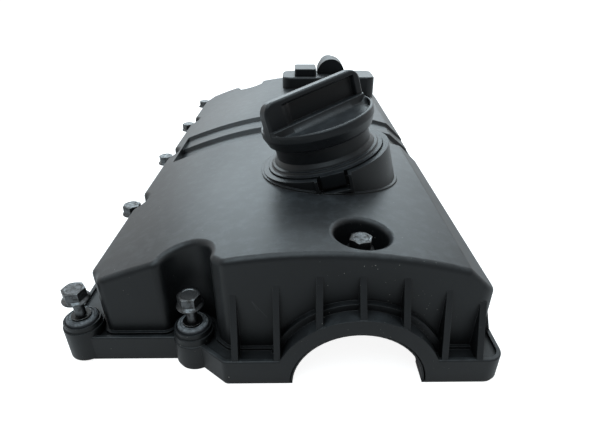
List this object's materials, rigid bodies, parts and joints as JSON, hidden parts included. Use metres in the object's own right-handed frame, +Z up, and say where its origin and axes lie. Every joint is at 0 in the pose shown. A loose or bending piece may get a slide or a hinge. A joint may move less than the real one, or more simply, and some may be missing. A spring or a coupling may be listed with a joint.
{
  "type": "engine valve cover",
  "caption": "Black moulded engine valve cover with gasket, captive bolts, bayonet oil filler cap, camshaft arch and breather tower.",
  "frame": {"origin": "on the ground under the middle of the cover's outline", "axes": "+X to the cover's right, +Y to the end away from the camshaft arch, +Z up"},
  "size_m": [0.2166, 0.388, 0.1231],
  "materials": {
    "cover_plastic": "satin black glass-filled moulding",
    "neck_plastic": "satin black moulding",
    "cap_plastic": "satin black moulding with a soft sheen",
    "gasket_rubber": "matt black rubber",
    "grommet_rubber": "dusty dark rubber",
    "zinc_steel": "dull zinc-plated steel, worn bright at the edges",
    "sleeve_steel": "turned steel tube"
  },
  "bodies": {
    "cover": {"cover_shell": "cover_plastic", "cover_gasket": "gasket_rubber", "filler_neck": "neck_plastic", "neck_seal": "gasket_rubber", "breather_lid": "neck_plastic", "hose_outlet": "neck_plastic", "outlet_ring": "gasket_rubber", "baffle_plate": "cover_plastic", "baffle_screws": "zinc_steel", "bolt_sleeve_1": "sleeve_steel", "bolt_grommet_1": "grommet_rubber", "bolt_sleeve_2": "sleeve_steel", "bolt_grommet_2": "grommet_rubber", "bolt_sleeve_3": "sleeve_steel", "bolt_grommet_3": "grommet_rubber", "bolt_sleeve_4": "sleeve_steel", "bolt_grommet_4": "grommet_rubber", "bolt_sleeve_5": "sleeve_steel", "bolt_grommet_5": "grommet_rubber", "bolt_sleeve_6": "sleeve_steel", "bolt_grommet_6": "grommet_rubber", "bolt_sleeve_7": "sleeve_steel", "bolt_grommet_7": "grommet_rubber", "bolt_sleeve_8": "sleeve_steel", "bolt_grommet_8": "grommet_rubber", "bolt_sleeve_9": "sleeve_steel", "bolt_grommet_9": "grommet_rubber", "bolt_sleeve_10": "sleeve_steel", "bolt_grommet_10": "grommet_rubber", "bolt_sleeve_11": "sleeve_steel", "bolt_grommet_11": "grommet_rubber"},
    "cap_carrier": {"cap_seal": "gasket_rubber"},
    "cap": {"filler_cap": "cap_plastic"},
    "bolt_body_1": {"bolt_1": "zinc_steel"},
    "bolt_body_2": {"bolt_2": "zinc_steel"},
    "bolt_body_3": {"bolt_3": "zinc_steel"},
    "bolt_body_4": {"bolt_4": "zinc_steel"},
    "bolt_body_5": {"bolt_5": "zinc_steel"},
    "bolt_body_6": {"bolt_6": "zinc_steel"},
    "bolt_body_7": {"bolt_7": "zinc_steel"},
    "bolt_body_8": {"bolt_8": "zinc_steel"},
    "bolt_body_9": {"bolt_9": "zinc_steel"},
    "bolt_body_10": {"bolt_10": "zinc_steel"},
    "bolt_body_11": {"bolt_11": "zinc_steel"}
  },
  "joints": [
    {"name": "cap_lift", "type": "slide", "parent": "cover", "child": "cap_carrier", "axis": [-0.2419, 0, 0.9703], "range_m": [0, 0.045]},
    {"name": "cap_turn", "type": "hinge", "parent": "cap_carrier", "child": "cap", "pos_m": [0.02253, -0.0855, 0.09621], "axis": [-0.2419, 0, 0.9703], "range_deg": [0, 90]},
    {"name": "bolt_slide_1", "type": "slide", "parent": "cover", "child": "bolt_body_1", "axis": [0, 0, 1], "range_m": [-0.0093, 0.003]},
    {"name": "bolt_slide_2", "type": "slide", "parent": "cover", "child": "bolt_body_2", "axis": [0, 0, 1], "range_m": [-0.0093, 0.003]},
    {"name": "bolt_slide_3", "type": "slide", "parent": "cover", "child": "bolt_body_3", "axis": [0, 0, 1], "range_m": [-0.0093, 0.003]},
    {"name": "bolt_slide_4", "type": "slide", "parent": "cover", "child": "bolt_body_4", "axis": [0, 0, 1], "range_m": [-0.0093, 0.003]},
    {"name": "bolt_slide_5", "type": "slide", "parent": "cover", "child": "bolt_body_5", "axis": [0, 0, 1], "range_m": [-0.0093, 0.003]},
    {"name": "bolt_slide_6", "type": "slide", "parent": "cover", "child": "bolt_body_6", "axis": [0, 0, 1], "range_m": [-0.0093, 0.003]},
    {"name": "bolt_slide_7", "type": "slide", "parent": "cover", "child": "bolt_body_7", "axis": [0, 0, 1], "range_m": [-0.0093, 0.003]},
    {"name": "bolt_slide_8", "type": "slide", "parent": "cover", "child": "bolt_body_8", "axis": [0, 0, 1], "range_m": [-0.0093, 0.003]},
    {"name": "bolt_slide_9", "type": "slide", "parent": "cover", "child": "bolt_body_9", "axis": [0, 0, 1], "range_m": [-0.0093, 0.003]},
    {"name": "bolt_slide_10", "type": "slide", "parent": "cover", "child": "bolt_body_10", "axis": [0, 0, 1], "range_m": [-0.0093, 0.003]},
    {"name": "bolt_slide_11", "type": "slide", "parent": "cover", "child": "bolt_body_11", "axis": [0, 0, 1], "range_m": [-0.0093, 0.003]}
  ]
}
